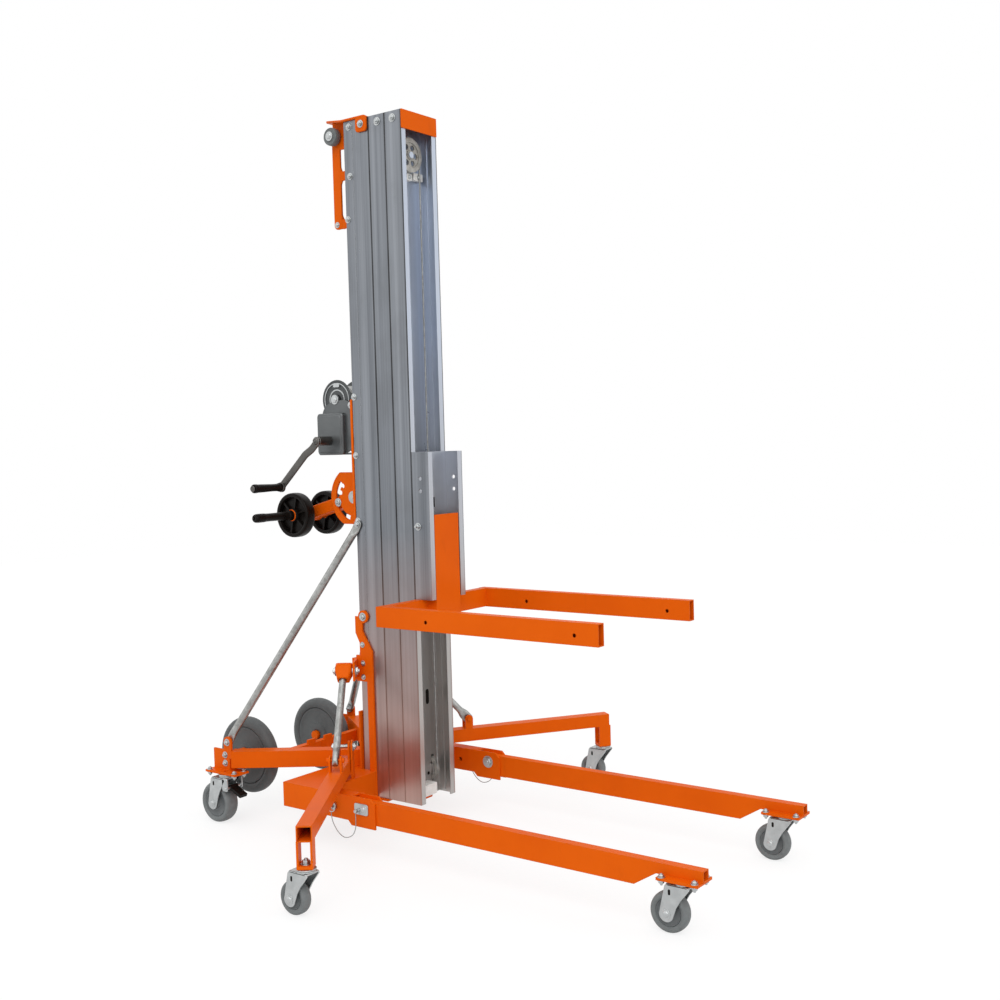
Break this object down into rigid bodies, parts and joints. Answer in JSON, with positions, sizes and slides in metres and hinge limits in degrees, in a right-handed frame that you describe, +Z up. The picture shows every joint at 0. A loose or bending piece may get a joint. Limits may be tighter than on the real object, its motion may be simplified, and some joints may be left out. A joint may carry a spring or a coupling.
{
  "type": "material hoist",
  "caption": "Hand-winched mast lift with telescoping aluminium sections, fork carriage, folding front legs, swing-up stabilisers, casters and loading wheels, for raising material on site",
  "frame": {"origin": "on the floor, under the middle of the part's length and width", "axes": "+X towards the fork tips, +Y to the left, +Z up along the mast"},
  "size_m": [1.692, 1.3566, 2.0164],
  "materials": {
    "orange_paint": "gloss powder coat",
    "mast_aluminium": "satin mill extrusion",
    "zinc_steel": "bright zinc plate",
    "wire_rope": "stranded wire",
    "sheave_metal": "turned",
    "winch_grey": "satin paint",
    "black_plastic": "moulded",
    "grey_rubber": "non-marking rubber"
  },
  "bodies": {
    "frame": {"base_frame": "orange_paint", "rear_arm_left": "orange_paint", "rear_arm_right": "orange_paint", "mast_base": "mast_aluminium", "braces": "zinc_steel", "top_bracket": "orange_paint", "winch_body": "winch_grey", "load_quadrant": "orange_paint", "bolts": "zinc_steel", "rope_base": "wire_rope", "rope_base_mid": "wire_rope", "lanyards": "wire_rope"},
    "middle_mast": {"mast_mid": "mast_aluminium", "rope_mid": "wire_rope", "rope_mid_front": "wire_rope"},
    "front_mast": {"mast_front": "mast_aluminium", "front_cap": "orange_paint", "rope_front": "wire_rope", "rope_carriage": "wire_rope"},
    "lift_carriage": {"carriage": "mast_aluminium", "fork_frame": "orange_paint"},
    "winch_crank": {"crank": "zinc_steel"},
    "winch_grip": {"crank_grip": "black_plastic"},
    "rope_drum": {"winch_drum": "winch_grey", "drum_rope": "wire_rope"},
    "base_sheave_body": {"base_sheave": "sheave_metal"},
    "mid_top_sheave_body": {"mid_top_sheave": "sheave_metal"},
    "mid_foot_sheave_body": {"mid_foot_sheave": "sheave_metal"},
    "front_top_sheave_body": {"front_top_sheave": "sheave_metal"},
    "front_foot_sheave_body": {"front_foot_sheave": "sheave_metal"},
    "bumper_rollers": {"top_rollers": "grey_rubber"},
    "loading_arm": {"load_arm": "orange_paint"},
    "loading_wheel_left": {"load_wheel_left": "black_plastic"},
    "front_leg_left": {"leg_left": "orange_paint"},
    "lock_pin_left": {"leg_pin_left": "zinc_steel"},
    "front_fork_left": {"front_caster_left": "zinc_steel"},
    "front_roll_left": {"front_wheel_left": "grey_rubber"},
    "rear_fork_left": {"rear_caster_left": "zinc_steel"},
    "rear_roll_left": {"rear_wheel_left": "grey_rubber"},
    "brake_lever_left": {"brake_pedal_left": "black_plastic"},
    "transport_roll_left": {"transport_wheel_left": "grey_rubber"},
    "stabilizer_arm_left": {"stabilizer_left": "orange_paint"},
    "strut_swivel_left": {"stab_swivel_left": "orange_paint"},
    "strut_left": {"stab_strut_left": "zinc_steel"},
    "stabilizer_fork_left": {"stab_caster_left": "zinc_steel"},
    "stabilizer_roll_left": {"stab_wheel_left": "grey_rubber"},
    "loading_wheel_right": {"load_wheel_right": "black_plastic"},
    "front_leg_right": {"leg_right": "orange_paint"},
    "lock_pin_right": {"leg_pin_right": "zinc_steel"},
    "front_fork_right": {"front_caster_right": "zinc_steel"},
    "front_roll_right": {"front_wheel_right": "grey_rubber"},
    "rear_fork_right": {"rear_caster_right": "zinc_steel"},
    "rear_roll_right": {"rear_wheel_right": "grey_rubber"},
    "brake_lever_right": {"brake_pedal_right": "black_plastic"},
    "transport_roll_right": {"transport_wheel_right": "grey_rubber"},
    "stabilizer_arm_right": {"stabilizer_right": "orange_paint"},
    "strut_swivel_right": {"stab_swivel_right": "orange_paint"},
    "strut_right": {"stab_strut_right": "zinc_steel"},
    "stabilizer_fork_right": {"stab_caster_right": "zinc_steel"},
    "stabilizer_roll_right": {"stab_wheel_right": "grey_rubber"}
  },
  "joints": [
    {"name": "middle_mast_slide", "type": "slide", "parent": "frame", "child": "middle_mast", "axis": [0, 0, 1], "range_m": [0, 1.5], "deforming": ["rope_base_mid"]},
    {"name": "front_mast_slide", "type": "slide", "parent": "middle_mast", "child": "front_mast", "axis": [0, 0, 1], "range_m": [0, 1.5], "deforming": ["rope_mid_front"]},
    {"name": "carriage_slide", "type": "slide", "parent": "front_mast", "child": "lift_carriage", "axis": [0, 0, 1], "range_m": [-0.52, 0.86], "deforming": ["rope_carriage"]},
    {"name": "crank_turn", "type": "hinge", "parent": "frame", "child": "winch_crank", "pos_m": [-0.44, -0.09, 1.104], "axis": [0, -1, 0], "range_deg": [-3869, 6399]},
    {"name": "crank_grip_spin", "type": "hinge", "parent": "winch_crank", "child": "winch_grip", "pos_m": [-0.58566, -0.178, 0.97285], "axis": [0, 1, 0], "continuous": true},
    {"name": "drum_turn", "type": "hinge", "parent": "frame", "child": "rope_drum", "pos_m": [-0.427, 0, 1.222], "axis": [0, 1, 0], "range_deg": [-779, 1285]},
    {"name": "base_sheave_turn", "type": "hinge", "parent": "frame", "child": "base_sheave_body", "pos_m": [-0.279, 0, 1.9], "axis": [1, 0, 0], "range_deg": [-1179, 715]},
    {"name": "mid_foot_sheave_turn", "type": "hinge", "parent": "middle_mast", "child": "mid_foot_sheave_body", "pos_m": [-0.2495, -0.042, 0.161], "axis": [0, 1, 0], "range_deg": [-1015, 1676]},
    {"name": "mid_top_sheave_turn", "type": "hinge", "parent": "middle_mast", "child": "mid_top_sheave_body", "pos_m": [-0.22, 0, 1.9], "axis": [1, 0, 0], "range_deg": [-715, 1179]},
    {"name": "front_foot_sheave_turn", "type": "hinge", "parent": "front_mast", "child": "front_foot_sheave_body", "pos_m": [-0.1905, 0.042, 0.161], "axis": [0, 1, 0], "range_deg": [-1015, 1676]},
    {"name": "front_top_sheave_turn", "type": "hinge", "parent": "front_mast", "child": "front_top_sheave_body", "pos_m": [-0.161, 0, 1.884], "axis": [1, 0, 0], "range_deg": [-1179, 715]},
    {"name": "bumper_roller_spin", "type": "hinge", "parent": "frame", "child": "bumper_rollers", "pos_m": [-0.395, 0, 1.963], "axis": [0, 1, 0], "continuous": true},
    {"name": "loading_arm_swing", "type": "hinge", "parent": "frame", "child": "loading_arm", "pos_m": [-0.383, 0, 0.94], "axis": [0, 1, 0], "range_deg": [-50, 10]},
    {"name": "loading_wheel_left_spin", "type": "hinge", "parent": "loading_arm", "child": "loading_wheel_left", "pos_m": [-0.5864, 0.067, 0.88778], "axis": [0, 1, 0], "continuous": true},
    {"name": "leg_left_fold", "type": "hinge", "parent": "frame", "child": "front_leg_left", "pos_m": [-0.142, 0.273, 0.134], "axis": [0, -1, 0], "range_deg": [0, 90]},
    {"name": "leg_pin_left_pull", "type": "slide", "parent": "frame", "child": "lock_pin_left", "axis": [0, 1, 0], "range_m": [0, 0.04]},
    {"name": "front_caster_left_swivel", "type": "hinge", "parent": "front_leg_left", "child": "front_fork_left", "pos_m": [0.794, 0.273, 0.11], "axis": [0, 0, 1], "continuous": true},
    {"name": "front_wheel_left_spin", "type": "hinge", "parent": "front_fork_left", "child": "front_roll_left", "pos_m": [0.758, 0.273, 0.0465], "axis": [0, 1, 0], "continuous": true},
    {"name": "rear_caster_left_swivel", "type": "hinge", "parent": "frame", "child": "rear_fork_left", "pos_m": [-0.697, 0.272, 0.13], "axis": [0, 0, 1], "continuous": true},
    {"name": "rear_wheel_left_spin", "type": "hinge", "parent": "rear_fork_left", "child": "rear_roll_left", "pos_m": [-0.731, 0.272, 0.0595], "axis": [0, 1, 0], "continuous": true},
    {"name": "brake_pedal_left_press", "type": "hinge", "parent": "rear_fork_left", "child": "brake_lever_left", "pos_m": [-0.671, 0.272, 0.11], "axis": [0, 1, 0], "range_deg": [0, 12]},
    {"name": "transport_wheel_left_spin", "type": "hinge", "parent": "frame", "child": "transport_roll_left", "pos_m": [-0.732, 0.15, 0.17], "axis": [0, 1, 0], "continuous": true},
    {"name": "stabilizer_left_fold", "type": "hinge", "parent": "frame", "child": "stabilizer_arm_left", "pos_m": [-0.32306, 0.16777, 0.25], "axis": [0.8192, -0.5736, 0], "range_deg": [0, 60]},
    {"name": "strut_swivel_left_turn", "type": "hinge", "parent": "frame", "child": "strut_swivel_left", "pos_m": [-0.346, 0.135, 0.455], "axis": [0.8192, -0.5736, 0], "range_deg": [0, 15.7]},
    {"name": "strut_left_slide", "type": "slide", "parent": "strut_swivel_left", "child": "strut_left", "axis": [-0.3832, -0.5473, 0.744], "range_m": [0, 0.137]},
    {"name": "stabilizer_caster_left_swivel", "type": "hinge", "parent": "stabilizer_arm_left", "child": "stabilizer_fork_left", "pos_m": [0.01593, 0.65188, 0.11], "axis": [0, 0, 1], "continuous": true},
    {"name": "stabilizer_wheel_left_spin", "type": "hinge", "parent": "stabilizer_fork_left", "child": "stabilizer_roll_left", "pos_m": [-0.02207, 0.65188, 0.041], "axis": [0, 1, 0], "continuous": true},
    {"name": "loading_wheel_right_spin", "type": "hinge", "parent": "loading_arm", "child": "loading_wheel_right", "pos_m": [-0.5864, -0.067, 0.88778], "axis": [0, 1, 0], "continuous": true},
    {"name": "leg_right_fold", "type": "hinge", "parent": "frame", "child": "front_leg_right", "pos_m": [-0.142, -0.273, 0.134], "axis": [0, -1, 0], "range_deg": [0, 90]},
    {"name": "leg_pin_right_pull", "type": "slide", "parent": "frame", "child": "lock_pin_right", "axis": [0, -1, 0], "range_m": [0, 0.04]},
    {"name": "front_caster_right_swivel", "type": "hinge", "parent": "front_leg_right", "child": "front_fork_right", "pos_m": [0.794, -0.273, 0.11], "axis": [0, 0, 1], "continuous": true},
    {"name": "front_wheel_right_spin", "type": "hinge", "parent": "front_fork_right", "child": "front_roll_right", "pos_m": [0.758, -0.273, 0.0465], "axis": [0, 1, 0], "continuous": true},
    {"name": "rear_caster_right_swivel", "type": "hinge", "parent": "frame", "child": "rear_fork_right", "pos_m": [-0.697, -0.272, 0.13], "axis": [0, 0, 1], "continuous": true},
    {"name": "rear_wheel_right_spin", "type": "hinge", "parent": "rear_fork_right", "child": "rear_roll_right", "pos_m": [-0.731, -0.272, 0.0595], "axis": [0, 1, 0], "continuous": true},
    {"name": "brake_pedal_right_press", "type": "hinge", "parent": "rear_fork_right", "child": "brake_lever_right", "pos_m": [-0.671, -0.272, 0.11], "axis": [0, 1, 0], "range_deg": [0, 12]},
    {"name": "transport_wheel_right_spin", "type": "hinge", "parent": "frame", "child": "transport_roll_right", "pos_m": [-0.732, -0.15, 0.17], "axis": [0, 1, 0], "continuous": true},
    {"name": "stabilizer_right_fold", "type": "hinge", "parent": "frame", "child": "stabilizer_arm_right", "pos_m": [-0.32306, -0.16777, 0.25], "axis": [-0.8192, -0.5736, 0], "range_deg": [0, 60]},
    {"name": "strut_swivel_right_turn", "type": "hinge", "parent": "frame", "child": "strut_swivel_right", "pos_m": [-0.346, -0.135, 0.455], "axis": [-0.8192, -0.5736, 0], "range_deg": [0, 15.7]},
    {"name": "strut_right_slide", "type": "slide", "parent": "strut_swivel_right", "child": "strut_right", "axis": [-0.3832, 0.5473, 0.744], "range_m": [0, 0.137]},
    {"name": "stabilizer_caster_right_swivel", "type": "hinge", "parent": "stabilizer_arm_right", "child": "stabilizer_fork_right", "pos_m": [0.01593, -0.65188, 0.11], "axis": [0, 0, 1], "continuous": true},
    {"name": "stabilizer_wheel_right_spin", "type": "hinge", "parent": "stabilizer_fork_right", "child": "stabilizer_roll_right", "pos_m": [-0.02207, -0.65188, 0.041], "axis": [0, 1, 0], "continuous": true}
  ],
  "couplings": [
    {"joint": "drum_turn", "follows": "crank_turn", "ratio": 0.2},
    {"joint": "carriage_slide", "follows": "crank_turn", "m_per_rad": 0.0077},
    {"joint": "base_sheave_turn", "follows": "crank_turn", "ratio": -0.18333},
    {"joint": "mid_foot_sheave_turn", "follows": "crank_turn", "ratio": 0.26102},
    {"joint": "mid_top_sheave_turn", "follows": "crank_turn", "ratio": 0.18333},
    {"joint": "front_foot_sheave_turn", "follows": "crank_turn", "ratio": 0.26102},
    {"joint": "front_top_sheave_turn", "follows": "crank_turn", "ratio": -0.18333},
    {"joint": "strut_swivel_left_turn", "follows": "stabilizer_left_fold", "ratio": 0.26},
    {"joint": "strut_left_slide", "follows": "stabilizer_left_fold", "m_per_rad": 0.1293},
    {"joint": "strut_swivel_right_turn", "follows": "stabilizer_right_fold", "ratio": 0.26},
    {"joint": "strut_right_slide", "follows": "stabilizer_right_fold", "m_per_rad": 0.1293}
  ]
}
